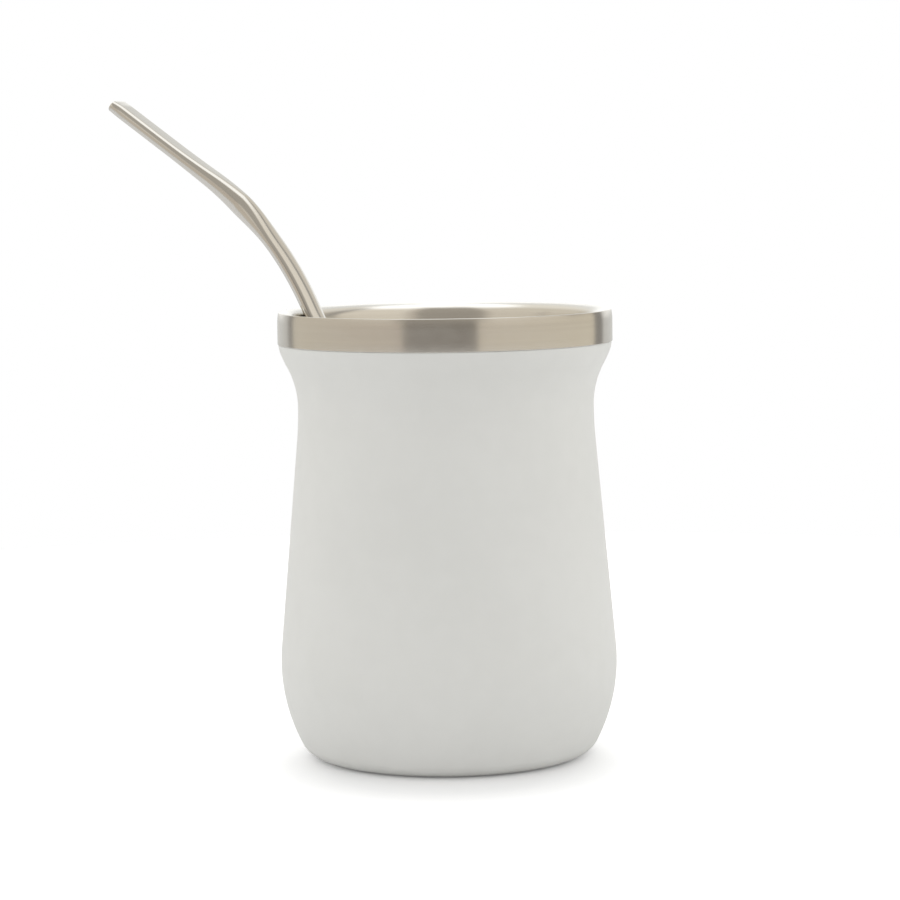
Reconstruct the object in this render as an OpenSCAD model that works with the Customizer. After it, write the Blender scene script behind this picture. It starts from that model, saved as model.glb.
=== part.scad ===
// Double-walled mate cup with its bent steel drinking straw.
// +Z is up and the origin is the centre of the foot ring, on the surface that the cup stands on.
// The cup is turned about Z. The straw lies in one upright plane through Z.

/* [Cup] */
// Height from the surface to the top of the lip
cup_h = 106.8; // [92:0.2:125]
// Outer diameter of the bare steel rim band
rim_d = 80; // [70:0.5:92]
// Height of the rim band, lip included
band_h = 7.6; // [6:0.1:12]
// Width by which the neck is narrower than the band, on each side
neck_in = 4.6; // [2:0.1:7]
// Width by which the belly is wider than the band, on each side
belly_out = 0.45; // [-2:0.05:4]
// Height of the largest diameter
belly_z = 22.5; // [16:0.5:30]
// Width of the foot ring, turned in under the cup
foot_ring = 3.4; // [2.5:0.1:6]

/* [Outside curves] */
// Radius of the corner between the foot and the belly
corner_arc = 6; // [2:0.5:9]
// Radius of the belly's curve
belly_arc = 42; // [36:1:60]
// Radius of the curve from the belly's cone into the neck
waist_arc = 88; // [20:1:100]
// Radius of the curve from the neck into the flare
flare_arc = 21; // [16:0.5:30]
// Radius of the curve from the flare up into the collar under the band
shoulder_arc = 11; // [6:0.5:14]
// Height above the band's lower edge at which the shell is upright
shoulder_tuck = 0.3; // [0:0.1:1]

/* [Sheet metal] */
// Thickness of the coated outer shell
shell_wall = 0.5; // [0.4:0.05:0.8]
// Thickness of the liner, its lip and its band
liner_wall = 0.5; // [0.4:0.05:0.7]
// Thickness of the base plate
base_wall = 0.5; // [0.4:0.05:1]
// Gap between the two walls at the neck
wall_gap = 2.7; // [1.5:0.1:4]
// Gap between the collar and the band that covers it
collar_gap = 0.05; // [0.02:0.01:0.1]
// Radius of the lip on the mouth's side
mouth_arc = 2.4; // [1.5:0.1:3]
// Inner radius of the fold between the lip and the band
lip_fold = 0.15; // [0.05:0.05:0.5]
// Width by which the band leans in towards the lip
band_lean = 0.25; // [0.05:0.05:0.5]
// Radius of the curve with which it leans in
band_arc = 12; // [8:0.5:20]
// Length of the collar beyond the band's own upright part
collar_reach = 0.8; // [0.4:0.1:1]

/* [Inside] */
// Height of the cup's floor
floor_z = 12; // [8:0.5:24]
// Radius of the corner between the floor and the wall
floor_arc = 9; // [4:0.5:14]
// Slope of the liner's wall, from the vertical
draft_angle = 2; // [0.5:0.5:4]
// Radius of the liner's curve from the flare into the lip
liner_shoulder_arc = 10; // [5:0.5:12]
// Slope at which the liner's wall runs into the lip, from the vertical
mouth_slope = 14; // [0:1:18]

/* [Base plate] */
// Clear width between the plate's edge and the start of the shell's corner
plate_clear = 1; // [0.5:0.1:2]
// Width of the plate's flat rim inside the opening
plate_rim = 3; // [1:0.5:6]
// Height by which the middle of the plate is pressed up
plate_rise = 1.2; // [0.5:0.1:3]

/* [Straw] */
// Direction in which the straw leans, from +X towards +Y
straw_turn = 157; // [0:1:359]
// Lean of the stem, from the vertical
stem_lean = 25; // [20:0.2:27]
// Outer diameter of the tube where it is round
tube_d = 5.6; // [4.6:0.1:6]
// Wall of the tube
tube_wall = 0.5; // [0.3:0.05:0.6]
// Radius of the bend, along the middle of the tube
bend_radius = 79; // [60:1:100]
// Angle through which the tube is bent
bend_angle = 30; // [20:0.5:40]
// Length of the bend's lower end that stands above the lip
bend_above_lip = 1; // [0:0.5:8]
// Length of the straight mouthpiece above the bend
mouth_len = 32; // [20:0.5:40]
// Thickness of the flattened mouthpiece
mouth_thick = 2.8; // [2.2:0.1:3.2]
// Length from the tip over which the mouthpiece stays flat
flat_len = 17; // [8:0.5:20]
// Length from the tip to the place where the tube is round
round_len = 42; // [34:0.5:44]
// Thickness of the tube where the bend has pressed it oval
bend_thick = 4; // [3.2:0.1:4.4]
// Length over which the tube changes from round to oval and back
oval_run = 14; // [8:0.5:20]
// Rounding of the tip's edges
tip_round = 0.14; // [0.05:0.01:0.2]

/* [Filter] */
// Outer radius of the filter's round end
bulb_r = 7; // [5:0.1:8]
// Length of the filter's cone, from the middle of the round end to the sleeve
cone_len = 27; // [20:0.5:32]
// Length of the sleeve that holds the tube
sleeve_len = 8; // [5:0.5:14]
// Wall of the filter
filter_wall = 0.4; // [0.3:0.05:0.6]
// Gap between the sleeve and the tube
sleeve_gap = 0.04; // [0.02:0.01:0.08]
// Diameter of the filter's holes
hole_d = 1.3; // [0.8:0.1:1.6]
// Holes in each row
row_holes = 10; // [6:2:12]
// Rows of holes along the cone
cone_rows = 6; // [3:1:6]
// Distance between rows
row_pitch = 3; // [2.5:0.1:3.2]

/* [Seats] */
// Gap between the straw and the lip that it leans on
lip_gap = 0.1; // [0.05:0.05:0.3]
// Gap between the filter and the floor that it stands on
floor_gap = 0.1; // [0.05:0.05:0.3]

/* [Hidden] */

// Largest angle between two points of a curve, of the filter's round end, and of the lip's small round
curve_step = 4;
bulb_step = 11;
lip_step = 13;
// Angle below the round end's middle at which its own row of holes lies
end_row_angle = 30;
// Sides of the tube's sections
tube_sides = 24;
// Facets of a drilled hole, and of a turned piece
hole_fn = 16;
turned_fn = 96;
// Longest stretch of tube between two sections: where it is bent, and where it changes shape
bend_step = 3;
change_step = 2;

// Slope of the straight line that touches two circles on its two sides,
// by the sum of their radii and the distances between their centres
function slope_between(radii, dr, dz) = atan2(dz, dr) - acos(radii / norm([dr, dz]));

rim_r = rim_d / 2;
neck_r = rim_r - neck_in;
belly_r = rim_r + belly_out;
band_z = cup_h - band_h;

// The collar is the shell's upright end, tucked up under the band.
// The flare's circle and the shoulder's touch on the way from the neck to the collar.
collar_r = rim_r - liner_wall - collar_gap;
flare_angle = acos(1 - (collar_r - neck_r) / (flare_arc + shoulder_arc));
shoulder_z = band_z + shoulder_tuck;
neck_z = shoulder_z - (flare_arc + shoulder_arc) * sin(flare_angle);

// The foot's flat ends where the corner's circle, inside the belly's, touches the ground
foot_r = belly_r - belly_arc + sqrt(pow(belly_arc - corner_arc, 2) - pow(belly_z - corner_arc, 2));
foot_opening_r = foot_r - foot_ring;
// Angle at which the corner runs into the belly
corner_end = atan2(corner_arc - belly_z, foot_r - (belly_r - belly_arc));
// Slope of the cone that touches both the belly's circle and the waist's
cone_angle = slope_between(
    waist_arc + belly_arc,
    neck_r + waist_arc - (belly_r - belly_arc),
    neck_z - belly_z
);

// The lip's two circles meet at its top, and the outer one lies inside the band's large one and touches it
lip_arc = liner_wall + lip_fold;
lip_r = rim_r - band_lean - lip_arc;
mouth_arc_z = cup_h - mouth_arc;
band_end = acos(1 - band_lean / (band_arc - lip_arc));
band_arc_z = cup_h - lip_arc - (band_arc - lip_arc) * sin(band_end);
collar_top = band_arc_z + collar_reach;

// The liner keeps the gap at the neck, and a straight stretch joins its flare to its shoulder,
// whose circle touches the mouth's
liner_neck_r = neck_r - shell_wall - wall_gap - liner_wall;
liner_flare_arc = flare_arc + shell_wall + wall_gap + liner_wall;
liner_shoulder = [lip_r, mouth_arc_z]
    + (liner_shoulder_arc + mouth_arc) * [-cos(mouth_slope), sin(mouth_slope)];
liner_angle = slope_between(
    liner_flare_arc + liner_shoulder_arc,
    liner_neck_r + liner_flare_arc - liner_shoulder[0],
    liner_shoulder[1] - neck_z
);
// Foot of the liner's curve into the flare, and the floor corner's centre below it
draft_top_r = liner_neck_r + liner_flare_arc * (1 - cos(draft_angle));
draft_top_z = neck_z + liner_flare_arc * sin(draft_angle);
floor_arc_z = floor_z + floor_arc;
floor_arc_r = draft_top_r - (draft_top_z - floor_arc_z + floor_arc * sin(draft_angle)) * tan(draft_angle)
    - floor_arc * cos(draft_angle);

// Points of an arc, by its centre, radius, first and last angle
function arc(centre, radius, from, to, step = curve_step) =
    let (steps = max(1, ceil(abs(to - from) / step)))
    [for (i = [0:steps]) let (a = from + (to - from) * i / steps) centre + radius * [cos(a), sin(a)]];

// A list in reverse order
function backwards(list) = [for (i = [len(list) - 1:-1:0]) list[i]];

// The shell's wall from the foot ring to the collar, at a depth below its outer face
function shell_line(depth) = concat(
    [[foot_opening_r, depth]],
    arc([foot_r, corner_arc], corner_arc - depth, -90, corner_end),
    arc([belly_r - belly_arc, belly_z], belly_arc - depth, corner_end, cone_angle),
    arc([neck_r + waist_arc, neck_z], waist_arc + depth, 180 + cone_angle, 180),
    arc([neck_r + flare_arc, neck_z], flare_arc + depth, 180, 180 - flare_angle),
    arc([collar_r - shoulder_arc, shoulder_z], shoulder_arc - depth, -flare_angle, 0),
    [[collar_r - depth, collar_top]]
);

// The liner's wall from the middle of the floor, up, over the lip and down the band,
// at a depth below the face that shows
function liner_line(depth) = concat(
    [[0, floor_z - depth]],
    arc([floor_arc_r, floor_arc_z], floor_arc + depth, -90, -draft_angle),
    arc(
        [liner_neck_r + liner_flare_arc, neck_z],
        liner_flare_arc - depth,
        180 - draft_angle,
        180 - liner_angle
    ),
    arc(liner_shoulder, liner_shoulder_arc + depth, -liner_angle, -mouth_slope),
    arc([lip_r, mouth_arc_z], mouth_arc - depth, 180 - mouth_slope, 90),
    arc([lip_r, cup_h - lip_arc], lip_arc - depth, 90, band_end, lip_step),
    arc([rim_r - band_arc, band_arc_z], band_arc - depth, band_end, 0),
    [[rim_r - depth, band_z]]
);

// Coated steel shell, drawn and necked, with its foot ring turned in
module outer_shell() {
    color([0.88, 0.88, 0.86])
        rotate_extrude($fn = turned_fn)
            polygon(concat(shell_line(0), backwards(shell_line(shell_wall))));
}

// Bare steel liner, with the lip rolled over and carried down outside as the rim band
module inner_liner() {
    color([0.72, 0.69, 0.64])
        rotate_extrude($fn = turned_fn)
            polygon(concat(liner_line(0), backwards(liner_line(liner_wall))));
}

// Pressed plate welded on the inside of the foot ring, its middle raised clear of the table
module base_plate() {
    plate_r = foot_r - plate_clear;
    rim_in = foot_opening_r - plate_rim;
    top_r = rim_in - plate_rise;
    low = shell_wall;
    color([0.74, 0.73, 0.70])
        rotate_extrude($fn = turned_fn)
            polygon([
                [0, low + plate_rise],
                [top_r, low + plate_rise],
                [rim_in, low],
                [plate_r, low],
                [plate_r, low + base_wall],
                [rim_in + base_wall / 2, low + base_wall],
                [top_r + base_wall / 2, low + plate_rise + base_wall],
                [0, low + plate_rise + base_wall]
            ]);
}

// The straw's route, worked out in its own plane: first number outwards from the cup's axis, second up
function along(lean) = [sin(lean), cos(lean)];
function across(lean) = [-cos(lean), sin(lean)];

lip_touch = [lip_r, mouth_arc_z] + (mouth_arc + lip_gap + bend_thick / 2) * across(stem_lean);
bend_end = lip_touch + bend_above_lip * along(stem_lean);
bend_len = bend_radius * bend_angle * PI / 180;
bulb_z = floor_z + floor_gap + bulb_r;
bulb_x = lip_touch[0] - (lip_touch[1] - bulb_z) * tan(stem_lean);
stem_len = norm(bend_end - [bulb_x, bulb_z]) - cone_len;
straw_len = mouth_len + bend_len + stem_len;

// Lean of the tube, and its middle, at a length from the tip
function lean_at(s) = stem_lean + bend_angle * min(1, max(0, (mouth_len + bend_len - s) / bend_len));
function middle_at(s) =
    s >= mouth_len + bend_len ? bend_end - (s - mouth_len - bend_len) * along(stem_lean)
    : s >= mouth_len ? bend_end + bend_radius * (across(lean_at(s)) - across(stem_lean))
    : middle_at(mouth_len) + (mouth_len - s) * along(stem_lean + bend_angle);

// Thickness of the tube at a length from the tip: flat, then a quickening swell to round,
// then an even change to oval, and back to round below the bend
function ease(x) = (1 - cos(180 * min(1, max(0, x)))) / 2;
function thickness_at(s) =
    s < round_len
    ? mouth_thick + (tube_d - mouth_thick) * pow(max(0, (s - flat_len) / (round_len - flat_len)), 2)
    : tube_d - (tube_d - bend_thick) * (ease((s - round_len) / oval_run)
        - ease((s - mouth_len - bend_len) / oval_run));

// Half sizes [straight part, end radius across, end radius along the thickness] of the section.
// The tube's girth stays that of the round tube.
function section_at(s) = let (t = thickness_at(s))
    s < round_len ? [PI * (tube_d - t) / 4, t / 2, t / 2]
    : [0, sqrt(tube_d * tube_d / 2 - t * t / 4), t / 2];

// One ring of points round the tube at a length from the tip, at a depth below its outer face
function ring(s, depth) =
    let (size = section_at(s), m = middle_at(s), n = across(lean_at(s)))
    [for (i = [0:tube_sides - 1])
        let (
            a = 360 * (i + 0.5) / tube_sides,
            wide = sign(cos(a)) * size[0] + (size[1] - depth) * cos(a),
            p = m + (size[2] - depth) * sin(a) * n
        )
        [p[0], wide, p[1]]];

// Lengths from the tip at which the tube has a section
function stretch(from, to, step) = let (n = max(1, ceil((to - from) / step)))
    [for (i = [1:n]) from + (to - from) * i / n];
round_again = mouth_len + bend_len + oval_run;
stations = concat(
    [0, tip_round, flat_len],
    stretch(flat_len, round_len, change_step),
    stretch(round_len, round_len + oval_run, change_step),
    round_len + oval_run < mouth_len + bend_len
        ? stretch(round_len + oval_run, mouth_len + bend_len, bend_step)
        : [],
    stretch(max(round_len + oval_run, mouth_len + bend_len), round_again, change_step),
    [straw_len]
);

// Drawn steel tube: flattened mouthpiece, bend and round stem
module straw_tube() {
    count = len(stations);
    outside = [for (i = [0:count - 1]) each ring(stations[i], i == 0 ? tip_round : 0)];
    inside = [for (i = [0:count - 1]) each ring(stations[i], i == 0 ? tube_wall - tip_round : tube_wall)];
    inner_start = count * tube_sides;
    skin = [for (i = [0:count - 2], j = [0:tube_sides - 1])
        let (k = (j + 1) % tube_sides, a = i * tube_sides, b = a + tube_sides)
        each [[a + j, b + j, b + k], [a + j, b + k, a + k]]];
    bore = [for (i = [0:count - 2], j = [0:tube_sides - 1])
        let (k = (j + 1) % tube_sides, a = inner_start + i * tube_sides, b = a + tube_sides)
        each [[a + j, b + k, b + j], [a + j, a + k, b + k]]];
    tip = [for (j = [0:tube_sides - 1])
        let (k = (j + 1) % tube_sides)
        each [[j, k, inner_start + k], [j, inner_start + k, inner_start + j]]];
    last = (count - 1) * tube_sides;
    foot = [for (j = [0:tube_sides - 1])
        let (k = (j + 1) % tube_sides)
        each [
            [last + j, inner_start + last + k, last + k],
            [last + j, inner_start + last + j, inner_start + last + k]
        ]];
    color([0.74, 0.73, 0.70])
        rotate([0, 0, straw_turn])
            polyhedron(points = concat(outside, inside), faces = concat(skin, bore, tip, foot));
}

// The filter's wall from the bottom of its round end up to the top of the sleeve,
// at a depth below its outer face
sleeve_r = tube_d / 2 + sleeve_gap + filter_wall;
cone_start = slope_between(bulb_r, sleeve_r, cone_len);
function filter_line(depth) = concat(
    arc([0, 0], bulb_r - depth, -90, cone_start, bulb_step),
    [[sleeve_r - depth, cone_len], [sleeve_r - depth, cone_len + sleeve_len]]
);
// Radius of the cone's outer face at a height above the middle of the round end
function cone_radius(z) = (bulb_r - z * sin(cone_start)) / cos(cone_start);

// Perforated filter: a round end and a cone, with a sleeve over the foot of the tube
module straw_filter() {
    color([0.74, 0.73, 0.70])
        rotate([0, 0, straw_turn])
            translate([bulb_x, 0, bulb_z])
                rotate([0, stem_lean, 0])
                    difference() {
                        rotate_extrude($fn = turned_fn)
                            polygon(concat(filter_line(0), backwards(filter_line(filter_wall))));
                        for (row = [0:cone_rows - 1], i = [0:row_holes - 1])
                            rotate([0, 90, 360 * (i + (row % 2) / 2) / row_holes])
                                translate([-row * row_pitch, 0, cone_radius(row * row_pitch) - hole_d])
                                    cylinder(d = hole_d, h = 2 * hole_d, $fn = hole_fn);
                        for (i = [0:row_holes - 1])
                            rotate([0, 90 + end_row_angle, 360 * (i + 0.5) / row_holes])
                                translate([0, 0, bulb_r - hole_d])
                                    cylinder(d = hole_d, h = 2 * hole_d, $fn = hole_fn);
                    }
}

outer_shell();
inner_liner();
base_plate();
straw_tube();
straw_filter();
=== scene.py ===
"""Looks of a double-walled mate cup and its bent steel straw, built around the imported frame.

Sizes are in millimetres in the classes, as in the part's source, and become metres in the meshes.
Z is up, X is to the right of the camera and -Y points towards it.
"""

import logging
import math
from dataclasses import dataclass, field
from enum import Enum

import bmesh
import bpy
import numpy as np
from mathutils import Matrix, Vector

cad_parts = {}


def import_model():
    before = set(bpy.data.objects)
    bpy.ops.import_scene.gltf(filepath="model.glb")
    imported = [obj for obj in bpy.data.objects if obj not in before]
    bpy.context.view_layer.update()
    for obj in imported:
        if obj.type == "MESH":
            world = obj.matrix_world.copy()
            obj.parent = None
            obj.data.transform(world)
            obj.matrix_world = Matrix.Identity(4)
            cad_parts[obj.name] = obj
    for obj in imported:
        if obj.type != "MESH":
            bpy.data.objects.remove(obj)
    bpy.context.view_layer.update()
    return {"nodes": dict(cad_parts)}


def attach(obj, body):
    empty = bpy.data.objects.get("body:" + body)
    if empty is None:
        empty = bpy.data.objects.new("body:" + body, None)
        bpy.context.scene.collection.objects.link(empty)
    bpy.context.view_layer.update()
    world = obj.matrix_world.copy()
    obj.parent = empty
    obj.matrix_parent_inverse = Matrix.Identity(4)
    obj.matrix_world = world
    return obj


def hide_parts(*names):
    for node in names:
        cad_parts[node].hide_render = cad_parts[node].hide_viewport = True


LOG = logging.getLogger("mate_cup")
MM = 0.001
BODY = "root"
SURFACE_UV = "surface"
SAME_POINT = 1e-6
ON_AXIS = 1e-7
EDGE_STEP = 30.0

Colour = tuple[float, float, float]
Point = tuple[float, float]
Span = tuple[float, float]
Socket = bpy.types.NodeSocket

WHITE: Colour = (1.0, 1.0, 1.0)


class Brushing(Enum):
    """Which way the fine lines of a steel surface run."""

    AROUND = "around the axis"
    ALONG = "along the tube"


class Placing(Enum):
    """Where a steel surface takes its turn and its length from."""

    OWN_MAP = "the piece's own UV map"
    AXIS = "turn about Z, and distance from Z plus height"


# Curves and surfaces


def arc(centre: Point, radius: float, start: float, end: float, step: float) -> np.ndarray:
    """Points of a circular arc: the centre plus the radius times the cosine and sine of each angle.

    Args:
        centre: Radius and height of the arc's centre.
        radius: Radius of the arc.
        start: First angle, in degrees.
        end: Last angle, in degrees.
        step: Largest angle between two points, in degrees.

    Returns:
        An array of points, one row of radius and height each.
    """
    count = max(1, math.ceil(abs(end - start) / step)) + 1
    angle = np.radians(np.linspace(start, end, count))
    return np.array(centre) + radius * np.stack([np.cos(angle), np.sin(angle)], axis=1)


def joined(*parts: np.ndarray) -> np.ndarray:
    """One outline from several, without the point that neighbours share, so that normals run on smoothly."""
    whole = np.concatenate(parts)
    steps = np.linalg.norm(np.diff(whole, axis=0), axis=1)
    return whole[np.concatenate([[True], steps > SAME_POINT])]


def slope_between(radii: float, dr: float, dz: float) -> float:
    """Slope from the vertical, in degrees, of the straight line that touches two circles on its two sides.

    It is the direction between the centres less the angle whose cosine is the radii's sum over their distance.

    Args:
        radii: Sum of the circles' radii.
        dr: Distance between the centres, across.
        dz: Distance between the centres, upwards.

    Returns:
        The slope.
    """
    return math.degrees(math.atan2(dz, dr) - math.acos(radii / math.hypot(dr, dz)))


def circles_meet(first: Point, first_r: float, second: Point, second_r: float) -> np.ndarray:
    """Upper point at which two circles cross, from the triangle of their centres and that point.

    It lies (gap squared + first radius squared - second radius squared) over twice the gap along the line
    between the centres, and to the side by the rest of the first radius.

    Args:
        first: Centre of the first circle.
        first_r: Its radius.
        second: Centre of the second circle.
        second_r: Its radius.

    Returns:
        The point, as radius and height.
    """
    step = np.array(second) - np.array(first)
    gap = np.hypot(*step)
    near = (gap**2 + first_r**2 - second_r**2) / (2 * gap)
    rise = math.sqrt(first_r**2 - near**2)
    sides = [np.array(first) + (near * step + turn * rise * np.array([-step[1], step[0]])) / gap for turn in (-1, 1)]
    return max(sides, key=lambda point: point[1])


def half_wave(x: np.ndarray) -> np.ndarray:
    """Half a cosine wave from 0 to 1, and steady outside that span."""
    return (1 - np.cos(np.pi * np.clip(x, 0, 1))) / 2


def running_length(points: np.ndarray) -> np.ndarray:
    """Distance from the first point along the line, summed over the chords between neighbours."""
    steps = np.linalg.norm(np.diff(points, axis=0), axis=1)
    return np.concatenate([[0.0], np.cumsum(steps)])


def encloses_inwards(points: np.ndarray, faces: np.ndarray) -> bool:
    """Says whether the faces point inwards: the sum of the corner triple products is then negative.

    Args:
        points: All the points, one row each.
        faces: Four point numbers for each face.

    Returns:
        True if the volume that the faces enclose comes out negative.
    """
    a, b, c, d = (points[faces[:, k]] for k in range(4))
    halves = np.cross(b, c) + np.cross(c, d)
    return float(np.einsum("ij,ij->", a, halves)) < 0


def surface_piece(name: str, grid: np.ndarray, length: np.ndarray, rows_close: bool) -> bpy.types.Object:
    """Makes a piece from a grid of points whose columns run round and close on themselves.

    The UV map holds the turn, from 0 to 1 round each row, and the length along the rows in metres.

    Args:
        name: Name of the piece.
        grid: Points in millimetres, as rows by columns by three.
        length: Length at each row in millimetres, with one more at the end where the rows close.
        rows_close: True if the last row joins the first.

    Returns:
        The object, at the origin, smooth and with its faces pointing outwards.
    """
    rows, columns = grid.shape[:2]
    points = (grid * MM).reshape(-1, 3)
    row = np.arange(rows if rows_close else rows - 1)[:, None]
    column = np.arange(columns)[None, :]
    corners = [(row, column), (row, column + 1), (row + 1, column + 1), (row + 1, column)]
    faces = np.stack([(r % rows) * columns + c % columns + 0 * (row + column) for r, c in corners], axis=-1)
    turn = np.stack([np.broadcast_to(c / columns, faces.shape[:2]) for _, c in corners], axis=-1)
    reach = np.stack([np.broadcast_to(length[r] * MM, faces.shape[:2]) for r, _ in corners], axis=-1)
    faces = faces.reshape(-1, 4)
    places = np.stack([turn, reach], axis=-1).reshape(-1, 4, 2)
    if encloses_inwards(points, faces):
        faces = faces[:, ::-1]
        places = places[:, ::-1]
    mesh = bpy.data.meshes.new(name)
    mesh.from_pydata(points, [], faces)
    layer = mesh.uv_layers.new(name=SURFACE_UV)
    layer.uv.foreach_set("vector", places.astype(np.float32).ravel())
    close_poles(mesh)
    mesh.shade_smooth()
    piece = bpy.data.objects.new(name, mesh)
    bpy.context.scene.collection.objects.link(piece)
    return piece


def close_poles(mesh: bpy.types.Mesh) -> None:
    """Merges the points that lie on the Z axis, so that a turned surface has no hole in its middle."""
    work = bmesh.new()
    work.from_mesh(mesh)
    on_axis = [v for v in work.verts if math.hypot(v.co.x, v.co.y) < ON_AXIS]
    bmesh.ops.remove_doubles(work, verts=on_axis, dist=ON_AXIS)
    work.to_mesh(mesh)
    work.free()


def turned_piece(name: str, outline: np.ndarray, columns: int, rows_close: bool) -> bpy.types.Object:
    """Turns an outline about Z: each point's radius times the cosine and sine of the turn, at its height.

    Args:
        name: Name of the piece.
        outline: Rows of radius and height, in millimetres.
        columns: Number of steps round.
        rows_close: True if the outline closes on itself away from the axis.

    Returns:
        The turned piece.
    """
    angle = np.arange(columns) * 2 * np.pi / columns
    radius, height = outline[:, :1], outline[:, 1:]
    grid = np.stack([radius * np.cos(angle), radius * np.sin(angle), height + 0 * angle], axis=-1)
    closing = outline[:1] if rows_close else outline[:0]
    return surface_piece(name, grid, running_length(np.concatenate([outline, closing])), rows_close)


# Node trees


class Chart:
    """A node tree, with short ways to add its nodes and join them."""

    def __init__(self, tree: bpy.types.NodeTree) -> None:
        """Starts on an empty tree."""
        self.tree = tree
        tree.nodes.clear()

    def node(self, kind: str, **settings: object) -> bpy.types.Node:
        """Adds a node of a kind, and sets its own settings."""
        made = self.tree.nodes.new(kind)
        for key, value in settings.items():
            setattr(made, key, value)
        return made

    def feed(self, target: Socket, value: object) -> None:
        """Links a socket to the target, or sets the target to a plain value or an opaque colour."""
        if isinstance(value, bpy.types.NodeSocket):
            self.tree.links.new(value, target)
        else:
            target.default_value = (*value, 1.0) if isinstance(value, tuple) else value

    def math(self, operation: str, first: object, second: object = 0.0, third: object = 0.0) -> Socket:
        """Adds a Math node.

        Args:
            operation: The node's operation.
            first: First value or socket.
            second: Second value or socket.
            third: Third value or socket, where the operation reads one.

        Returns:
            The socket that holds the result.
        """
        made = self.node("ShaderNodeMath", operation=operation)
        for target, value in zip(made.inputs, (first, second, third)):
            self.feed(target, value)
        return made.outputs[0]

    def soft_step(self, value: Socket, low: float, high: float) -> Socket:
        """Rises smoothly from 0 at the low value to 1 at the high one."""
        made = self.node("ShaderNodeMapRange", interpolation_type="SMOOTHSTEP")
        self.feed(made.inputs["Value"], value)
        self.feed(made.inputs["From Min"], low)
        self.feed(made.inputs["From Max"], high)
        return made.outputs["Result"]

    def spread(self, value: Socket, low: float, high: float) -> Socket:
        """Maps a value from 0 to 1 onto the span from the low value to the high one."""
        made = self.node("ShaderNodeMapRange")
        self.feed(made.inputs["Value"], value)
        self.feed(made.inputs["To Min"], low)
        self.feed(made.inputs["To Max"], high)
        return made.outputs["Result"]

    def reach(self, x: Socket, y: Socket) -> Socket:
        """Gives the distance from where both are 0: the square root of the sum of their squares."""
        return self.math("SQRT", self.math("MULTIPLY_ADD", x, x, self.math("MULTIPLY", y, y)))

    def noise(self, vector: Socket, scale: object, detail: float) -> Socket:
        """Adds a noise texture and returns its value, from 0 to 1."""
        made = self.node("ShaderNodeTexNoise")
        self.feed(made.inputs["Vector"], vector)
        self.feed(made.inputs["Scale"], scale)
        self.feed(made.inputs["Detail"], detail)
        return made.outputs["Fac"]

    def vector(self, x: object, y: object, z: object) -> Socket:
        """Joins three values into a vector."""
        made = self.node("ShaderNodeCombineXYZ")
        for target, value in zip(made.inputs, (x, y, z)):
            self.feed(target, value)
        return made.outputs[0]

    def split(self, vector: Socket) -> tuple[Socket, Socket, Socket]:
        """Splits a vector into its three values."""
        made = self.node("ShaderNodeSeparateXYZ")
        self.feed(made.inputs[0], vector)
        return made.outputs[0], made.outputs[1], made.outputs[2]

    def mix(self, factor: object, first: object, second: object) -> Socket:
        """Mixes two colours by a factor."""
        made = self.node("ShaderNodeMix", data_type="RGBA")
        self.feed(made.inputs["Factor"], factor)
        self.feed(made.inputs[6], first)
        self.feed(made.inputs[7], second)
        return made.outputs[2]

    def group(self, tree: bpy.types.NodeTree, **values: object) -> bpy.types.Node:
        """Places a node group, with a value or socket for each named input."""
        made = self.node("ShaderNodeGroup", node_tree=tree)
        for key, value in values.items():
            self.feed(made.inputs[key.replace("_", " ")], value)
        return made

    def bump(self, height: Socket, distance: float, strength: float = 1.0) -> Socket:
        """Turns a height from 0 to 1 into a normal, for a full height in metres."""
        made = self.node("ShaderNodeBump")
        self.feed(made.inputs["Height"], height)
        self.feed(made.inputs["Distance"], distance)
        self.feed(made.inputs["Strength"], strength)
        return made.outputs["Normal"]


def effect_group(
    name: str, inputs: dict[str, str], outputs: dict[str, str]
) -> tuple[Chart, dict[str, Socket], bpy.types.Node]:
    """Starts a shader node group with named sockets.

    Args:
        name: Name of the group.
        inputs: Socket kind for each input's name.
        outputs: Socket kind for each output's name.

    Returns:
        The group's chart, its inputs by name, and its output node.
    """
    tree = bpy.data.node_groups.new(name, "ShaderNodeTree")
    for key, kind in inputs.items():
        tree.interface.new_socket(key, in_out="INPUT", socket_type=kind)
    for key, kind in outputs.items():
        tree.interface.new_socket(key, in_out="OUTPUT", socket_type=kind)
    chart = Chart(tree)
    start = chart.node("NodeGroupInput")
    return chart, {key: start.outputs[key] for key in inputs}, chart.node("NodeGroupOutput")


FLOAT = "NodeSocketFloat"
VECTOR = "NodeSocketVector"


def fine_lines_group() -> bpy.types.NodeTree:
    """Brushed lines: noise on the point (cosine of the turn, sine of the turn, length), stretched along the lines.

    Returns:
        A group that gives the lines' height and a broader tone, both from 0 to 1.
    """
    chart, given, out = effect_group(
        "fine_lines",
        {"Turn": FLOAT, "Length": FLOAT, "Turn Scale": FLOAT, "Length Scale": FLOAT},
        {"Height": FLOAT, "Tone": FLOAT},
    )
    angle = chart.math("MULTIPLY", given["Turn"], math.tau)
    across = chart.math("MULTIPLY", chart.math("COSINE", angle), given["Turn Scale"])
    up = chart.math("MULTIPLY", chart.math("SINE", angle), given["Turn Scale"])
    along = chart.math("MULTIPLY", given["Length"], given["Length Scale"])
    place = chart.vector(across, up, along)
    chart.feed(out.inputs["Height"], chart.noise(place, scale=1.0, detail=2.0))
    chart.feed(out.inputs["Tone"], chart.noise(place, scale=0.23, detail=3.0))
    return chart.tree


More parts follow.
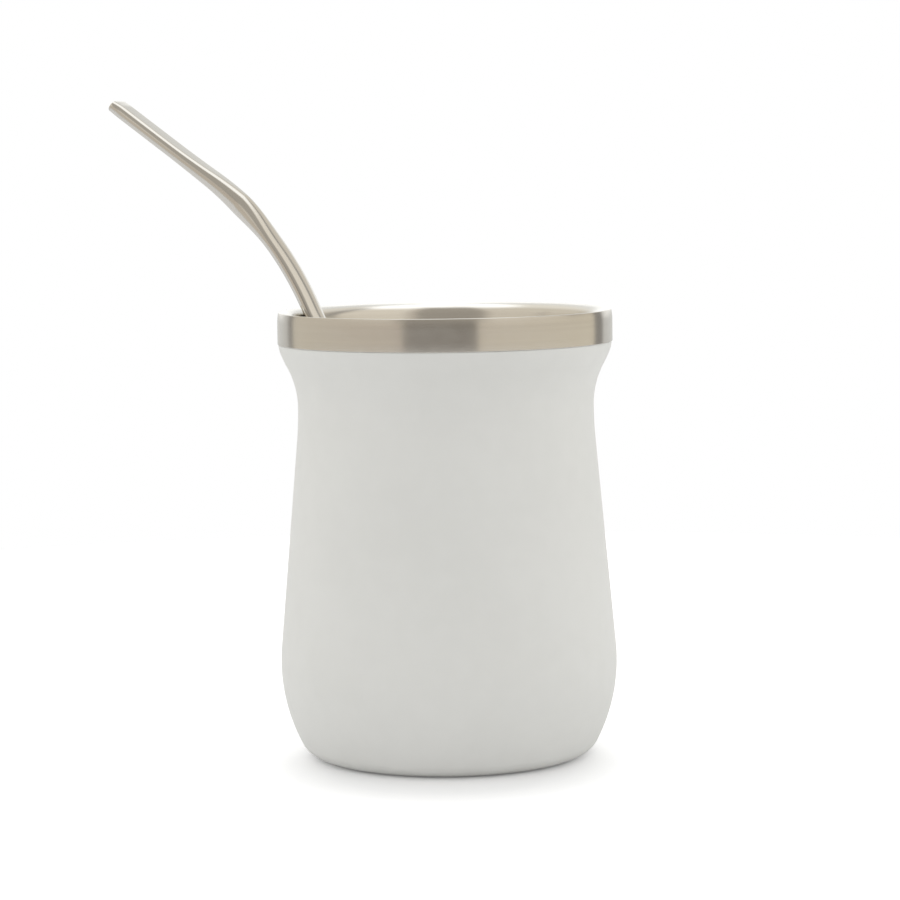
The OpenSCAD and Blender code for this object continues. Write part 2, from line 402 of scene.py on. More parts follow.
def handling_group() -> bpy.types.NodeTree:
    """Marks of handling: broad cloudy patches, about two thirds of the whole, with finer smears in them.

    Returns:
        A group that gives the patches' strength, from 0 to 1.
    """
    chart, given, out = effect_group("handling_marks", {"Place": VECTOR, "Patch Scale": FLOAT}, {"Marks": FLOAT})
    smear_finer, smear_share = 6.0, 0.35
    patches = chart.noise(given["Place"], given["Patch Scale"], detail=3.0)
    smears = chart.noise(given["Place"], chart.math("MULTIPLY", given["Patch Scale"], smear_finer), detail=2.0)
    both = chart.math("MULTIPLY_ADD", smears, smear_share, chart.math("MULTIPLY", patches, 1 - smear_share))
    chart.feed(out.inputs["Marks"], chart.soft_step(both, low=0.35, high=0.68))
    return chart.tree


def specks_group() -> bpy.types.NodeTree:
    """Sparse dark specks: a dot round a few of the cells' points, where the cell's own number is high.

    Returns:
        A group that gives 1 on a speck and 0 elsewhere.
    """
    chart, given, out = effect_group(
        "dark_specks", {"Place": VECTOR, "Cells": FLOAT, "Speck Size": FLOAT, "Share": FLOAT}, {"Speck": FLOAT}
    )
    cells = chart.node("ShaderNodeTexVoronoi")
    chart.feed(cells.inputs["Vector"], given["Place"])
    chart.feed(cells.inputs["Scale"], given["Cells"])
    number = chart.node("ShaderNodeSeparateColor")
    chart.feed(number.inputs[0], cells.outputs["Color"])
    near = chart.math("LESS_THAN", cells.outputs["Distance"], given["Speck Size"])
    kept = chart.math("LESS_THAN", number.outputs[0], given["Share"])
    chart.feed(out.inputs["Speck"], chart.math("MULTIPLY", near, kept))
    return chart.tree


@dataclass(frozen=True)
class SharedEffects:
    """The node groups that more than one finish uses."""

    lines: bpy.types.NodeTree
    marks: bpy.types.NodeTree
    specks: bpy.types.NodeTree


def new_material(name: str) -> tuple[bpy.types.Material, Chart, bpy.types.Node]:
    """Makes a material with a Principled BSDF on its output.

    Args:
        name: Name of the material.

    Returns:
        The material, its chart and its shader node.
    """
    material = bpy.data.materials.new(name)
    material.use_nodes = True
    chart = Chart(material.node_tree)
    shader = chart.node("ShaderNodeBsdfPrincipled")
    out = chart.node("ShaderNodeOutputMaterial")
    chart.feed(out.inputs["Surface"], shader.outputs["BSDF"])
    return material, chart, shader


@dataclass(frozen=True)
class PowderCoat:
    """Satin white powder coat on steel, with fine orange peel and a few specks."""

    colour: Colour = (0.76, 0.76, 0.735)
    tint: Colour = (0.74, 0.74, 0.714)
    speck_colour: Colour = (0.16, 0.15, 0.14)
    roughness: float = 0.46
    peel_scale: float = 1100.0
    peel_height: float = 0.000012
    patch_scale: float = 34.0
    patch_rough: float = 0.07
    speck_cells: float = 90.0
    speck_size: float = 0.02
    speck_share: float = 0.05

    def material(self, effects: SharedEffects) -> bpy.types.Material:
        """Makes the coat's material.

        Args:
            effects: The shared node groups.

        Returns:
            The material.
        """
        material, chart, shader = new_material("white_powder_coat")
        place = chart.node("ShaderNodeTexCoord").outputs["Object"]
        marks = chart.group(effects.marks, Place=place, Patch_Scale=self.patch_scale).outputs[0]
        specks = chart.group(
            effects.specks, Place=place, Cells=self.speck_cells, Speck_Size=self.speck_size, Share=self.speck_share
        )
        tone = chart.mix(marks, self.colour, self.tint)
        speckled = chart.mix(specks.outputs[0], tone, self.speck_colour)
        chart.feed(shader.inputs["Base Color"], speckled)
        rough = chart.spread(marks, self.roughness, self.roughness + self.patch_rough)
        chart.feed(shader.inputs["Roughness"], rough)
        peel = chart.noise(place, self.peel_scale, detail=2.0)
        chart.feed(shader.inputs["Normal"], chart.bump(peel, self.peel_height))
        return material


@dataclass(frozen=True)
class BrushedSteel:
    """Bare steel with fine lines, from nearly mirror-bright to satin.

    Above one height, and within one distance of the axis, a paler tone is painted on the lip's roll as a highlight.
    """

    name: str
    colour: Colour
    tint: Colour
    roughness: float
    brushing: Brushing
    placing: Placing
    stretch: float = 0.8
    line_height: float = 0.000004
    line_turns: float = 2.0
    lines_per_metre: float = 7000.0
    line_rough: float = 0.03
    patch_scale: float = 55.0
    patch_rough: float = 0.05
    specks: bool = False
    speck_cells: float = 110.0
    speck_size: float = 0.035
    speck_share: float = 0.12
    speck_colour: Colour = (0.12, 0.11, 0.10)
    # Painted highlight: a paler tone on the lip's roll, above one height and inside one radius of the axis.
    painted_highlight_above: float | None = None
    painted_highlight_fade: float = 0.0008
    painted_highlight_inside: float = 0.03965
    painted_highlight: Colour = (0.80, 0.79, 0.765)

    def turn_and_length(self, chart: Chart) -> tuple[Socket, Socket]:
        """Gives the turn, from 0 to 1, and the length in metres at each point of the surface."""
        if self.placing is Placing.OWN_MAP:
            turn, length, _ = chart.split(chart.node("ShaderNodeUVMap", uv_map=SURFACE_UV).outputs[0])
            return turn, length
        x, y, z = chart.split(chart.node("ShaderNodeTexCoord").outputs["Object"])
        turn = chart.math("DIVIDE", chart.math("ARCTAN2", y, x), math.tau)
        return turn, chart.math("ADD", chart.reach(x, y), z)

    def material(self, effects: SharedEffects) -> bpy.types.Material:
        """Makes the steel's material.

        Args:
            effects: The shared node groups.

        Returns:
            The material.
        """
        material, chart, shader = new_material(self.name)
        turn, length = self.turn_and_length(chart)
        place = chart.node("ShaderNodeTexCoord").outputs["Object"]
        lines = chart.group(
            effects.lines, Turn=turn, Length=length, Turn_Scale=self.line_turns, Length_Scale=self.lines_per_metre
        )
        marks = chart.group(effects.marks, Place=place, Patch_Scale=self.patch_scale).outputs[0]
        tone = chart.mix(lines.outputs["Tone"], self.colour, self.tint)
        # Painted highlight: the lip's roll takes a paler tone above one height and inside one radius.
        if self.painted_highlight_above is not None:
            x, y, height = chart.split(place)
            inside = chart.math("LESS_THAN", chart.reach(x, y), self.painted_highlight_inside)
            above = chart.soft_step(height, self.painted_highlight_above, self.painted_highlight_above + self.painted_highlight_fade)
            tone = chart.mix(chart.math("MULTIPLY", inside, above), tone, self.painted_highlight)
        if self.specks:
            specks = chart.group(
                effects.specks,
                Place=place,
                Cells=self.speck_cells,
                Speck_Size=self.speck_size,
                Share=self.speck_share,
            )
            tone = chart.mix(specks.outputs[0], tone, self.speck_colour)
        chart.feed(shader.inputs["Base Color"], tone)
        smooth, satin = self.roughness - self.line_rough, self.roughness + self.line_rough
        rough = chart.spread(lines.outputs["Tone"], smooth, satin)
        chart.feed(shader.inputs["Roughness"], chart.math("MULTIPLY_ADD", marks, self.patch_rough, rough))
        chart.feed(shader.inputs["Metallic"], 1.0)
        chart.feed(shader.inputs["Anisotropic"], self.stretch)
        chart.feed(shader.inputs["Anisotropic Rotation"], 0.25 if self.brushing is Brushing.AROUND else 0.0)
        chart.feed(shader.inputs["Normal"], chart.bump(lines.outputs["Height"], self.line_height))
        return material


LINER_STEEL = BrushedSteel(
    name="liner_steel",
    colour=(0.66, 0.63, 0.58),
    tint=(0.58, 0.555, 0.51),
    roughness=0.19,
    brushing=Brushing.AROUND,
    placing=Placing.OWN_MAP,
    specks=True,
    painted_highlight_above=0.1051,
)
TUBE_STEEL = BrushedSteel(
    name="tube_steel",
    colour=(0.70, 0.68, 0.64),
    tint=(0.62, 0.60, 0.565),
    roughness=0.12,
    brushing=Brushing.ALONG,
    placing=Placing.OWN_MAP,
    stretch=0.5,
    line_height=0.0000012,
    line_turns=14.0,
    lines_per_metre=60.0,
)
PLATE_STEEL = BrushedSteel(
    name="plate_steel",
    colour=(0.64, 0.62, 0.585),
    tint=(0.56, 0.545, 0.52),
    roughness=0.30,
    brushing=Brushing.AROUND,
    placing=Placing.AXIS,
)


def put_material(piece: bpy.types.Object, material: bpy.types.Material) -> None:
    """Puts one material in all of a piece's slots."""
    if not piece.material_slots:
        piece.data.materials.append(material)
    for place in piece.material_slots:
        place.material = material


# The object's pieces


@dataclass
class OuterShell:
    """Coated steel shell: foot ring turned in, corner, belly, cone, waist, flare, shoulder and collar.

    The coat gathers to a low bead just under the band.
    """

    band_r: float = 40.0
    band_z: float = 99.2
    belly_out: float = 0.45
    belly_z: float = 22.5
    neck_in: float = 4.6
    foot_ring: float = 3.4
    corner_arc: float = 6.0
    belly_arc: float = 42.0
    waist_arc: float = 88.0
    flare_arc: float = 21.0
    shoulder_arc: float = 11.0
    shoulder_tuck: float = 0.3
    wall: float = 0.5
    collar_in: float = 0.55
    collar_top: float = 104.6
    edge_round: float = 0.12
    bead: float = 0.36
    bead_height: float = 4.5
    bead_gap: float = 0.02
    shown_step: float = 1.0
    hidden_step: float = 4.0
    columns: int = 288

    @property
    def belly_x(self) -> float:
        """Radius at which the belly's arc has its centre."""
        return self.band_r + self.belly_out - self.belly_arc

    @property
    def foot_r(self) -> float:
        """Radius at which the foot ring's flat runs into the corner."""
        rise = self.belly_z - self.corner_arc
        return self.belly_x + math.sqrt((self.belly_arc - self.corner_arc) ** 2 - rise**2)

    @property
    def collar_r(self) -> float:
        """Outer radius of the collar under the band."""
        return self.band_r - self.collar_in

    def line(self, depth: float, step: float) -> np.ndarray:
        """The wall from the corner to the shoulder, as arcs that touch each other or a straight between them.

        Args:
            depth: Depth below the outer face.
            step: Largest angle between two points, in degrees.

        Returns:
            Rows of radius and height.
        """
        corner_end = math.degrees(math.atan2(self.corner_arc - self.belly_z, self.foot_r - self.belly_x))
        neck_r = self.band_r - self.neck_in
        bends = self.flare_arc + self.shoulder_arc
        lean = math.acos(1 - (self.collar_r - neck_r) / bends)
        flare = math.degrees(lean)
        shoulder_z = self.band_z + self.shoulder_tuck
        neck_z = shoulder_z - bends * math.sin(lean)
        waist_x = neck_r + self.waist_arc
        cone = slope_between(self.waist_arc + self.belly_arc, waist_x - self.belly_x, neck_z - self.belly_z)
        return joined(
            arc((self.foot_r, self.corner_arc), self.corner_arc - depth, -90, corner_end, step),
            arc((self.belly_x, self.belly_z), self.belly_arc - depth, corner_end, cone, step),
            arc((waist_x, neck_z), self.waist_arc + depth, 180 + cone, 180, step),
            arc((neck_r + self.flare_arc, neck_z), self.flare_arc + depth, 180, 180 - flare, step),
            arc((self.collar_r - self.shoulder_arc, shoulder_z), self.shoulder_arc - depth, -flare, 0, step),
        )

    def outline(self) -> np.ndarray:
        """The whole closed outline: outer wall up, collar's edge, inner wall down, foot ring's edge.

        Under the band the outer wall moves out by the bead times half a cosine wave over the bead's height.
        """
        edge = self.edge_round
        top = self.collar_top - edge
        opening_r = self.foot_r - self.foot_ring
        outer = self.line(0.0, self.shown_step)
        swell = half_wave((outer[:, 1] - self.band_z + self.bead_height) / self.bead_height)
        outer[:, 0] += self.bead * swell * (outer[:, 1] < self.band_z - self.bead_gap)
        return joined(
            outer,
            arc((self.collar_r - edge, top), edge, 0, 90, EDGE_STEP),
            arc((self.collar_r - self.wall + edge, top), edge, 90, 180, EDGE_STEP),
            self.line(self.wall, self.hidden_step)[::-1],
            arc((opening_r + edge, self.wall - edge), edge, 90, 180, EDGE_STEP),
            arc((opening_r + edge, edge), edge, 180, 270, EDGE_STEP),
        )

    def build(self, material: bpy.types.Material) -> bpy.types.Object:
        """Makes the shell and dresses it.

        Args:
            material: The coat.

        Returns:
            The piece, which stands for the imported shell.
        """
        piece = turned_piece("coated_shell", self.outline(), self.columns, True)
        put_material(piece, material)
        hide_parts("outer_shell")
        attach(piece, BODY)
        return piece


@dataclass
class InnerLiner:
    """Bare steel liner, with the lip rolled over and carried down outside as the rim band.

    The roll is wide towards the mouth and tight towards the band, which leans in towards its top.
    """

    rim_r: float = 40.0
    cup_h: float = 106.8
    band_h: float = 7.6
    mouth_arc: float = 3.3
    lip_arc: float = 0.2
    band_lean: float = 0.25
    neck_r: float = 31.7
    neck_z: float = 83.76
    flare_arc: float = 24.7
    shoulder_arc: float = 10.0
    mouth_slope: float = 14.0
    draft_angle: float = 2.0
    floor_z: float = 12.0
    floor_arc: float = 9.0
    band_arc: float = 12.0
    band_upright: float = 2.0
    wall: float = 0.5
    edge_round: float = 0.14
    flat_r: float = 22.0
    flat_rings: int = 5
    shown_step: float = 1.5
    hidden_step: float = 4.0
    columns: int = 288

    def line(self, depth: float, step: float) -> np.ndarray:
        """The wall from the floor's corner, up, over the lip and down the band, as arcs that touch.

        A straight stretch joins the flare's arc to the shoulder's, and the shoulder's touches the mouth's roll.
        Deeper than the lip's own arc, the roll and the band run on to the point where their arcs cross.

        Args:
            depth: Depth below the face that shows.
            step: Largest angle between two points, in degrees.

        Returns:
            Rows of radius and height.
        """
        lip_r = self.rim_r - self.band_lean - self.lip_arc
        lip_z = self.cup_h - self.lip_arc
        mouth_z = self.cup_h - self.mouth_arc
        band_end = math.acos(1 - self.band_lean / (self.band_arc - self.lip_arc))
        band_x = self.rim_r - self.band_arc
        band_z = lip_z - (self.band_arc - self.lip_arc) * math.sin(band_end)
        slope = math.radians(self.mouth_slope)
        shoulder_r = lip_r - (self.shoulder_arc + self.mouth_arc) * math.cos(slope)
        shoulder_z = mouth_z + (self.shoulder_arc + self.mouth_arc) * math.sin(slope)
        flare_r = self.neck_r + self.flare_arc
        flare = slope_between(self.flare_arc + self.shoulder_arc, flare_r - shoulder_r, shoulder_z - self.neck_z)
        draft = math.radians(self.draft_angle)
        foot_r = flare_r - self.flare_arc * math.cos(draft)
        foot_z = self.neck_z + self.flare_arc * math.sin(draft)
        corner_z = self.floor_z + self.floor_arc
        drop = foot_z - corner_z + self.floor_arc * math.sin(draft)
        corner_r = foot_r - drop * math.tan(draft) - self.floor_arc * math.cos(draft)
        if depth > self.lip_arc:
            crossing = circles_meet((lip_r, mouth_z), self.mouth_arc - depth, (band_x, band_z), self.band_arc - depth)
            mouth_end = math.degrees(math.atan2(crossing[1] - mouth_z, crossing[0] - lip_r))
            band_start = math.degrees(math.atan2(crossing[1] - band_z, crossing[0] - band_x))
            lip = crossing[None, :]
        else:
            mouth_end, band_start = 90.0, math.degrees(band_end)
            lip = arc((lip_r, lip_z), self.lip_arc - depth, mouth_end, band_start, 8 * step)
        return joined(
            arc((corner_r, corner_z), self.floor_arc + depth, -90, -self.draft_angle, step),
            arc((flare_r, self.neck_z), self.flare_arc - depth, 180 - self.draft_angle, 180 - flare, step),
            arc((shoulder_r, shoulder_z), self.shoulder_arc + depth, -flare, -self.mouth_slope, step),
            arc((lip_r, mouth_z), self.mouth_arc - depth, 180 - self.mouth_slope, mouth_end, 2 * step),
            lip,
            arc((band_x, band_z), self.band_arc - depth, band_start, 0, step),
        )

    def outline(self) -> np.ndarray:
        """The open outline from the middle of the floor's top, over the lip, to the middle of its underside."""
        low = self.cup_h - self.band_h
        edge = self.edge_round
        rings = np.linspace(0.0, self.flat_r, self.flat_rings)
        floor = np.stack([rings, rings * 0 + self.floor_z], axis=1)
        upright = np.array([[self.rim_r, low + self.band_upright]])
        return joined(
            floor,
            self.line(0.0, self.shown_step),
            upright,
            arc((self.rim_r - edge, low + edge), edge, 0, -90, 0.6 * EDGE_STEP),
            arc((self.rim_r - self.wall + edge, low + edge), edge, -90, -180, EDGE_STEP),
            upright - [self.wall, 0.0],
            self.line(self.wall, self.hidden_step)[::-1],
            (floor - [0.0, self.wall])[::-1],
        )

    def build(self, material: bpy.types.Material) -> bpy.types.Object:
        """Makes the liner with its band and dresses it.

        Args:
            material: The brushed steel.

        Returns:
            The piece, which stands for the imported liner.
        """
        piece = turned_piece("steel_liner_and_band", self.outline(), self.columns, False)
        put_material(piece, material)
        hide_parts("inner_liner")
        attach(piece, BODY)
        return piece


@dataclass
class BentStraw:
    """Drawn steel tube: flattened mouthpiece, knuckle, oval bend and round stem, all in one upright plane."""

    turn: float = 157.0
    stem_lean: float = 25.0
    tube_d: float = 5.6
    tube_wall: float = 0.5
    bend_radius: float = 79.0
    bend_angle: float = 30.0
    mouth_len: float = 32.0
    mouth_thick: float = 3.2
    tip_pinch: float = 0.4
    tip_run: float = 3.0
    flat_len: float = 17.0
    round_len: float = 42.0
    bend_thick: float = 4.0
    oval_run: float = 14.0
    edge_round: float = 0.16
    mouth_round: tuple[float, float] = (39.1, 104.4)
    mouth_reach: float = 2.5
    bend_above_lip: float = 1.0
    bulb_z: float = 19.1
    cone_len: float = 27.0
    rows: int = 220
    edge_rows: int = 5
    columns: int = 96
    length: float = field(init=False)
    bend_end: np.ndarray = field(init=False)

    def __post_init__(self) -> None:
        """Works out where the stem touches the lip, and the straw's length from the filter's height."""
        lean = np.array(self.stem_lean)
        lip_touch = np.array(self.mouth_round) + (self.mouth_reach + self.bend_thick / 2) * self.across(lean)
        self.bend_end = lip_touch + self.bend_above_lip * self.along(lean)
        bulb_x = self.bend_end[0] - (self.bend_end[1] - self.bulb_z) * math.tan(math.radians(self.stem_lean))
        stem = math.hypot(self.bend_end[0] - bulb_x, self.bend_end[1] - self.bulb_z) - self.cone_len
        self.length = self.mouth_len + self.bend_len + stem

    @property
    def bend_len(self) -> float:
        """Length of the bend along the middle of the tube."""
        return self.bend_radius * math.radians(self.bend_angle)

    @staticmethod
    def along(lean: np.ndarray) -> np.ndarray:
        """Unit steps up the tube, outwards and up, for a lean in degrees."""
        return np.stack([np.sin(np.radians(lean)), np.cos(np.radians(lean))], axis=-1)

    @staticmethod
    def across(lean: np.ndarray) -> np.ndarray:
        """Unit steps across the tube, towards the cup's axis and up, for a lean in degrees."""
        return np.stack([-np.cos(np.radians(lean)), np.sin(np.radians(lean))], axis=-1)

    def lean_at(self, s: np.ndarray) -> np.ndarray:
        """Lean in degrees at lengths from the tip: steady, then falling evenly along the bend, then steady."""
        return self.stem_lean + self.bend_angle * np.clip((self.mouth_len + self.bend_len - s) / self.bend_len, 0, 1)

    def middle_at(self, s: np.ndarray) -> np.ndarray:
        """Middle of the tube at lengths from the tip: a straight line, a circle's arc and a straight line."""
        lean = self.lean_at(s)
        stem = np.minimum(self.mouth_len + self.bend_len - s, 0)[:, None] * self.along(lean)
        bend = self.bend_radius * (self.across(lean) - self.across(np.array(self.stem_lean)))
        mouth = np.maximum(self.mouth_len - s, 0)[:, None] * self.along(lean)
        return self.bend_end + stem + bend + mouth

    def thickness_at(self, s: np.ndarray) -> np.ndarray:
        """Thickness at lengths from the tip: flat, a quickening swell to round, an even change to oval and back."""
        swell = np.clip((s - self.flat_len) / (self.round_len - self.flat_len), 0, 1) ** 2
        pinch = self.tip_pinch * half_wave(1 - s / self.tip_run)
        flat = self.mouth_thick - pinch + (self.tube_d - self.mouth_thick) * swell
        press = half_wave((s - self.round_len) / self.oval_run)
        release = half_wave((s - self.mouth_len - self.bend_len) / self.oval_run)
        return np.where(s < self.round_len, flat, self.tube_d - (self.tube_d - self.bend_thick) * (press - release))

    def rings(self, s: np.ndarray, depth: np.ndarray) -> np.ndarray:
        """Sections of the tube: a stadium where it is flattened and an ellipse elsewhere, of steady girth.

        Each point is the middle, plus the section's width along Y, plus its height across the lean.

        Args:
            s: Lengths from the tip, one for each section.
            depth: Depth of each section below the tube's outer face.

        Returns:
            Points as sections by columns by three.
        """
        thick = self.thickness_at(s)
        flat = s < self.round_len
        straight = np.where(flat, np.pi * (self.tube_d - thick) / 4, 0)[:, None]
        wide_r = np.where(flat, thick / 2, np.sqrt(np.maximum(self.tube_d**2 / 2 - thick**2 / 4, 0)))
        angle = np.arange(self.columns) * 2 * np.pi / self.columns + np.pi / self.columns
        wide = np.sign(np.cos(angle)) * straight + (wide_r - depth)[:, None] * np.cos(angle)
        high = (thick / 2 - depth)[:, None] * np.sin(angle)
        plane = self.middle_at(s)[:, None, :] + high[..., None] * self.across(self.lean_at(s))[:, None, :]
        turn = math.radians(self.turn)
        outward, up = plane[..., 0], plane[..., 1]
        x = outward * math.cos(turn) - wide * math.sin(turn)
        y = outward * math.sin(turn) + wide * math.cos(turn)
        return np.stack([x, y, up], axis=-1)

    def build(self, material: bpy.types.Material) -> bpy.types.Object:
        """Makes the tube in one closed surface and dresses it.

        It runs up the outside, round the tip's two edges, down the bore and round the lower end's two edges.

        Args:
            material: The tube's steel.

        Returns:
            The piece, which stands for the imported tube.
        """
        body = np.linspace(self.edge_round, self.length - self.edge_round, self.rows)
        quarter = np.radians(np.linspace(0, 90, self.edge_rows))
        in_from_end = self.edge_round * (1 - np.sin(quarter))
        edge_depth = self.edge_round * (1 - np.cos(quarter))
        stretches = [
            (body[::-1], 0 * body),
            (in_from_end[1:], edge_depth[1:]),
            (in_from_end[::-1], self.tube_wall - edge_depth[::-1]),
            (body[1:], self.tube_wall + 0 * body[1:]),
            (self.length - in_from_end[1:], self.tube_wall - edge_depth[1:]),
            (self.length - in_from_end[:0:-1], edge_depth[:0:-1]),
        ]
        s, depth = (np.concatenate(values) for values in zip(*stretches))
        piece = surface_piece("bent_straw", self.rings(s, depth), np.append(s, s[:1]), True)
        put_material(piece, material)
        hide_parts("straw_tube")
        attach(piece, BODY)
        return piece


# The studio


@dataclass(frozen=True)
class Panel:
    """A stretch of the studio's walls with one light, from start to end in degrees from the camera's side."""

    start: float
    end: float
    light: Colour


@dataclass
class Studio:
    """White table and background, two broad warm side walls, a bright ceiling and a darker gap round the camera.

    Metal sees the walls as they are; the coat is lit by their plain white light. The spans are in degrees of
    elevation, or of the turn away from the camera's side, and the table's sizes are in metres.
    """

    back: Colour = (0.56, 0.56, 0.545)
    gap: Colour = (0.26, 0.25, 0.235)
    front: Colour = (0.24, 0.222, 0.20)
    left_outer: Colour = (0.62, 0.58, 0.50)
    left_inner: Colour = (0.53, 0.475, 0.41)
    right_inner: Colour = (0.62, 0.57, 0.49)
    right_outer: Colour = (0.66, 0.61, 0.51)
    high_back: Colour = (0.68, 0.68, 0.66)
    high_left: Colour = (0.73, 0.69, 0.61)
    high_outer: Colour = (0.66, 0.62, 0.55)
    high_right: Colour = (0.81, 0.765, 0.685)
    high_front: Colour = (0.40, 0.375, 0.335)
    high_gap: Colour = (0.34, 0.33, 0.31)
    top: Colour = (1.17, 1.17, 1.15)
    horizon: Colour = (0.92, 0.92, 0.90)
    ground: Colour = (0.60, 0.60, 0.585)
    strength: float = 1.25
    fill: Colour = (1.10, 1.10, 1.085)
    fill_front: Colour = (0.62, 0.615, 0.61)
    camera_turn: float = 0.05
    aside: Span = (30.0, 46.0)
    ceiling_starts: Span = (67.0, 56.0)
    ceiling_fade: float = 10.0
    behind: Span = (136.0, 150.0)
    horizon_rises: Span = (-1.2, 1.6)
    horizon_falls: Span = (12.0, 22.0)
    high_walls: Span = (9.0, 22.0)
    ground_ends: Span = (-18.0, -12.0)
    fill_evens: Span = (40.0, 60.0)
    floor_r: float = 0.42
    floor_rings: int = 8
    floor_columns: int = 128
    floor_colour: Colour = (0.84, 0.84, 0.845)
    floor_roughness: float = 0.9
    floor_specular: float = 0.1
    floor_glow: float = 0.34
    shadow_glow: float = 0.10
    shadow_ahead: float = 0.022
    shadow_core: float = 0.022
    shadow_edge: float = 0.048

    def panels(self) -> list[Panel]:
        """The walls at the horizon, all the way round from behind the object."""
        return [
            Panel(-180, -137, self.back),
            Panel(-134, -129, self.gap),
            Panel(-126, -126, self.left_outer),
            Panel(-29, -29, self.left_inner),
            Panel(-27.5, 20, self.front),
            Panel(24, 24, self.right_inner),
            Panel(122, 122, self.right_outer),
            Panel(126, 136, self.gap),
            Panel(140, 180, self.back),
        ]

    def high_panels(self) -> list[Panel]:
        """The walls above the horizon, where the light is stronger and has one gap, on the right."""
        return [
            Panel(-180, -178, self.top),
            Panel(-170, -170, self.high_back),
            Panel(-140, -40, self.high_left),
            Panel(-30, 20, self.high_front),
            Panel(36, 94, self.high_right),
            Panel(102, 111, self.high_gap),
            Panel(119, 140, self.high_outer),
            Panel(162, 171, self.high_back),
            Panel(178, 180, self.top),
        ]

    def walls_by_azimuth(self, chart: Chart, azimuth: Socket, panels: list[Panel]) -> Socket:
        """The walls' colour for an azimuth in radians, with a straight change from each panel to the next."""
        ramp = chart.node("ShaderNodeValToRGB")
        chart.feed(ramp.inputs[0], chart.math("MULTIPLY_ADD", azimuth, 1 / math.tau, 0.5))
        edges = ramp.color_ramp.elements
        stops = [(edge, panel.light) for panel in panels for edge in sorted({panel.start, panel.end})]
        for index, (edge, light) in enumerate(stops):
            place = edge / 360 + 0.5
            stop = edges[index] if index in (0, len(stops) - 1) else edges.new(place)
            stop.position = place
            stop.color = (*light, 1.0)
        return ramp.outputs[0]

    def light(self) -> None:
        """Makes the world: walls by azimuth, ceiling and ground by elevation, and white to the camera.

        The dark front reaches higher than the walls: the ceiling starts later where the azimuth is small.
        Behind the object a pale strip lies on the horizon, as the lit table does.
        """
        world = bpy.data.worlds.new("studio")
        bpy.context.scene.world = world
        world.use_nodes = True
        chart = Chart(world.node_tree)
        x, y, z = chart.split(chart.node("ShaderNodeTexCoord").outputs["Generated"])
        azimuth = chart.math("ARCTAN2", x, chart.math("MULTIPLY", y, -1.0))
        away = chart.math("ABSOLUTE", chart.math("ADD", azimuth, self.camera_turn))
        turned = chart.math("MULTIPLY", away, math.degrees(1.0))
        elevation = chart.math("MULTIPLY", chart.math("ARCSINE", z), math.degrees(1.0))
        aside = chart.soft_step(turned, *self.aside)
        start = chart.spread(aside, *self.ceiling_starts)
        ceiling = chart.soft_step(chart.math("SUBTRACT", elevation, start), 0.0, self.ceiling_fade)
        rising = chart.math(
            "MULTIPLY", chart.soft_step(turned, *self.behind), chart.soft_step(elevation, *self.horizon_rises)
        )
        still = chart.math("SUBTRACT", 1.0, chart.soft_step(elevation, *self.horizon_falls))
        strip = chart.math("MULTIPLY", rising, still)
        low = self.walls_by_azimuth(chart, azimuth, self.panels())
        high = self.walls_by_azimuth(chart, azimuth, self.high_panels())
        walls = chart.mix(chart.soft_step(elevation, *self.high_walls), low, high)
        walls = chart.mix(strip, walls, self.horizon)
        walls = chart.mix(ceiling, walls, self.top)
        room = chart.mix(chart.soft_step(elevation, *self.ground_ends), self.ground, walls)
        ahead = chart.mix(aside, self.fill_front, self.fill)
        fill = chart.mix(chart.soft_step(elevation, *self.fill_evens), ahead, self.fill)
        path = chart.node("ShaderNodeLightPath")
        lit = chart.mix(path.outputs["Is Glossy Ray"], fill, room)
        seen = chart.mix(path.outputs["Is Camera Ray"], lit, WHITE)
        lamp = chart.node("ShaderNodeBackground")
        chart.feed(lamp.inputs["Color"], seen)
        gain = chart.math("MULTIPLY_ADD", path.outputs["Is Glossy Ray"], self.strength - 1.0, 1.0)
        chart.feed(lamp.inputs["Strength"], gain)
        chart.feed(chart.node("ShaderNodeOutputWorld").inputs["Surface"], lamp.outputs[0])

    def floor(self) -> bpy.types.Object:
        """Makes the white table top: rings of points round the Z axis, level with the foot.

        To the camera it glows less in a disc ahead of the cup: a painted shadow that deepens its soft shadow there.

        Returns:
            The floor, which is no part of the object.
        """
        columns = self.floor_columns
        angle = np.arange(columns) * 2 * np.pi / columns
        radius = np.linspace(0.0, self.floor_r, self.floor_rings + 1)[:, None]
        points = np.stack([radius * np.cos(angle), radius * np.sin(angle), 0 * radius * angle], axis=-1)
        column = np.arange(columns)[None, :]
        after = (column + 1) % columns
        inner = np.arange(self.floor_rings)[:, None] * columns
        outer = inner + columns
        faces = np.stack([inner + column, outer + column, outer + after, inner + after], axis=-1)
        mesh = bpy.data.meshes.new("table_top")
        mesh.from_pydata(points.reshape(-1, 3), [], faces.reshape(-1, 4))
        close_poles(mesh)
        piece = bpy.data.objects.new("table_top", mesh)
        bpy.context.scene.collection.objects.link(piece)
        material, chart, shader = new_material("white_table")
        chart.feed(shader.inputs["Base Color"], self.floor_colour)
        chart.feed(shader.inputs["Roughness"], self.floor_roughness)
        chart.feed(shader.inputs["Specular IOR Level"], self.floor_specular)
        chart.feed(shader.inputs["Emission Color"], WHITE)
        x, y, _ = chart.split(chart.node("ShaderNodeTexCoord").outputs["Object"])
        # Painted shadow: the glow drops in a disc just ahead of the cup.
        ahead = chart.math("ADD", y, self.shadow_ahead)
        lit = chart.soft_step(chart.reach(x, ahead), self.shadow_core, self.shadow_edge)
        glow = chart.math("MULTIPLY_ADD", lit, self.floor_glow - self.shadow_glow, self.shadow_glow)
        seen = chart.node("ShaderNodeLightPath").outputs["Is Camera Ray"]
        chart.feed(shader.inputs["Emission Strength"], chart.math("MULTIPLY", seen, glow))
        put_material(piece, material)
        return piece


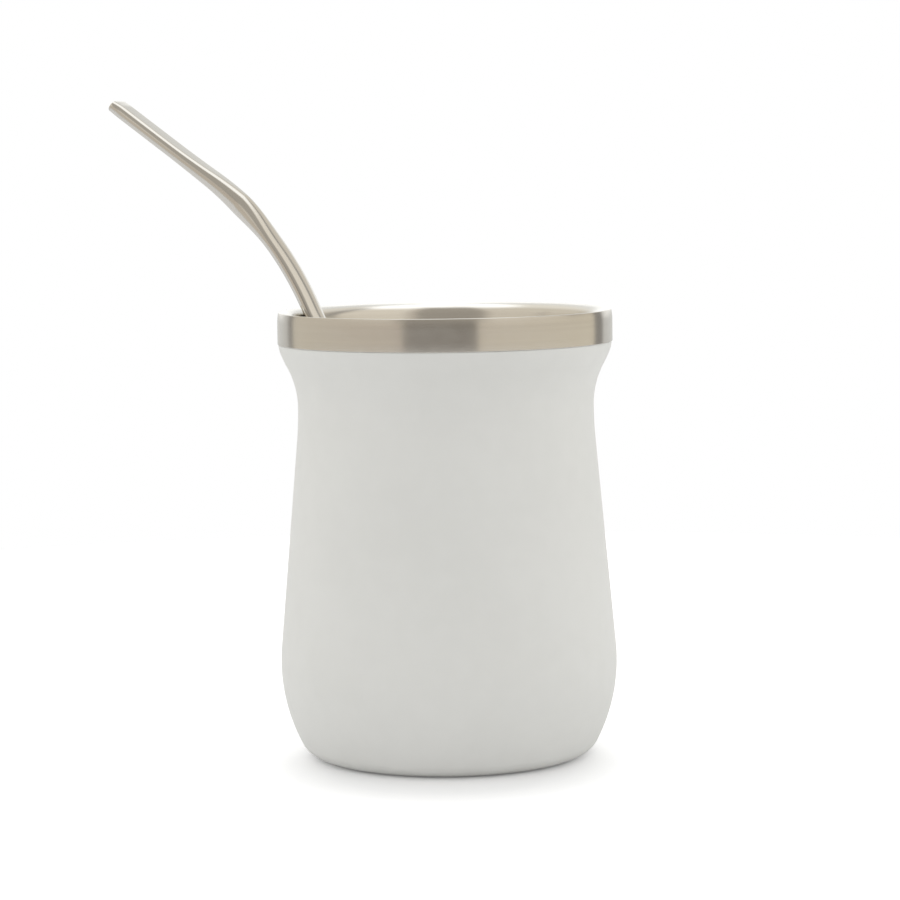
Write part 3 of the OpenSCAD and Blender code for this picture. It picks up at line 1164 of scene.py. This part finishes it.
@dataclass(frozen=True)
class PhotographView:
    """The camera that the photograph was taken with, as fitted to the rim, the band and the foot."""

    focal_px: float = 2989.0
    frame_px: float = 900.0
    sensor: float = 36.0
    place: tuple[float, float, float] = (0.00085, -0.7140, 0.1433)
    pitch: float = 5.61
    roll: float = -0.74
    clip: Span = (0.01, 20.0)

    def camera(self) -> bpy.types.Object:
        """Makes the scene's camera, and has it show plain colours.

        Returns:
            The camera object.
        """
        data = bpy.data.cameras.new("photograph")
        data.sensor_width = self.sensor
        data.lens = self.focal_px * self.sensor / self.frame_px
        data.clip_start, data.clip_end = self.clip
        pitch, roll = math.radians(self.pitch), math.radians(self.roll)
        forward = Vector((0.0, math.cos(pitch), -math.sin(pitch)))
        upright = Vector((0.0, math.sin(pitch), math.cos(pitch)))
        level = Vector((1.0, 0.0, 0.0))
        right = level * math.cos(roll) + upright * math.sin(roll)
        up = upright * math.cos(roll) - level * math.sin(roll)
        turned = Matrix((right, up, -forward)).transposed().to_4x4()
        camera = bpy.data.objects.new("photograph", data)
        bpy.context.scene.collection.objects.link(camera)
        camera.matrix_world = Matrix.Translation(self.place) @ turned
        bpy.context.scene.camera = camera
        bpy.context.scene.view_settings.view_transform = "Standard"
        return camera


def report(piece: bpy.types.Object) -> None:
    """Logs a piece's name and how many triangles it has."""
    piece.data.calc_loop_triangles()
    LOG.info("%s: %d triangles", piece.name, len(piece.data.loop_triangles))


def corners(box: tuple[Vector, Vector]) -> list[list[float]]:
    """A box's two corners as plain lists."""
    return [list(box[0]), list(box[1])]


def main() -> None:
    """Builds the cup, its straw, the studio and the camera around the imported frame."""
    logging.basicConfig(level=logging.INFO, format="%(name)s %(message)s")
    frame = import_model()
    effects = SharedEffects(fine_lines_group(), handling_group(), specks_group())
    coat = PowderCoat().material(effects)
    liner_steel = LINER_STEEL.material(effects)
    tube_steel = TUBE_STEEL.material(effects)
    plate_steel = PLATE_STEEL.material(effects)
    pieces = [
        OuterShell().build(coat),
        InnerLiner().build(liner_steel),
        BentStraw().build(tube_steel),
    ]
    for node in ("base_plate", "straw_filter"):
        put_material(frame["nodes"][node], plate_steel)
        pieces.append(frame["nodes"][node])
    for piece in pieces:
        report(piece)
    studio = Studio()
    studio.light()
    studio.floor()
    PhotographView().camera()


if __name__ == "__main__":
    main()
